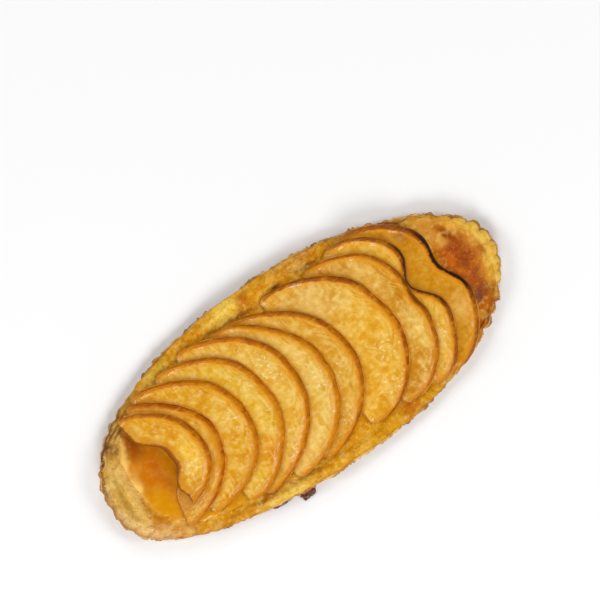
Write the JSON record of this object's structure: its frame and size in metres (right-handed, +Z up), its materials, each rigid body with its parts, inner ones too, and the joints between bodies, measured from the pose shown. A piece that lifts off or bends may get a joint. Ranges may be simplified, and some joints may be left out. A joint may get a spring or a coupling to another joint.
{
  "type": "apple tart",
  "caption": "Oval puff pastry tart with a low fluted rim, a row of glazed half-round apple slices that overlap like roof tiles, and golden compote showing past them.",
  "frame": {"origin": "middle of the underside, on the surface the tart rests on", "axes": "+X along the tart towards its browned end, away from the pool of compote; +Y across it, away from the side with the burnt juice; +Z up"},
  "size_m": [0.1898, 0.0854, 0.0153],
  "materials": {
    "pastry": "baked puff pastry, golden to dark brown, with a thin glaze on top",
    "compote": "baked apple compote, amber and glossy",
    "apple": "baked, glazed apple with a browned peel edge"
  },
  "bodies": {
    "root": {"crust": "pastry", "compote": "compote", "apple_slice_01": "apple", "apple_slice_02": "apple", "apple_slice_03": "apple", "apple_slice_04": "apple", "apple_slice_05": "apple", "apple_slice_06": "apple", "apple_slice_07": "apple", "apple_slice_08": "apple", "apple_slice_09": "apple", "apple_slice_10": "apple", "apple_slice_11": "apple"}
  },
  "joints": []
}
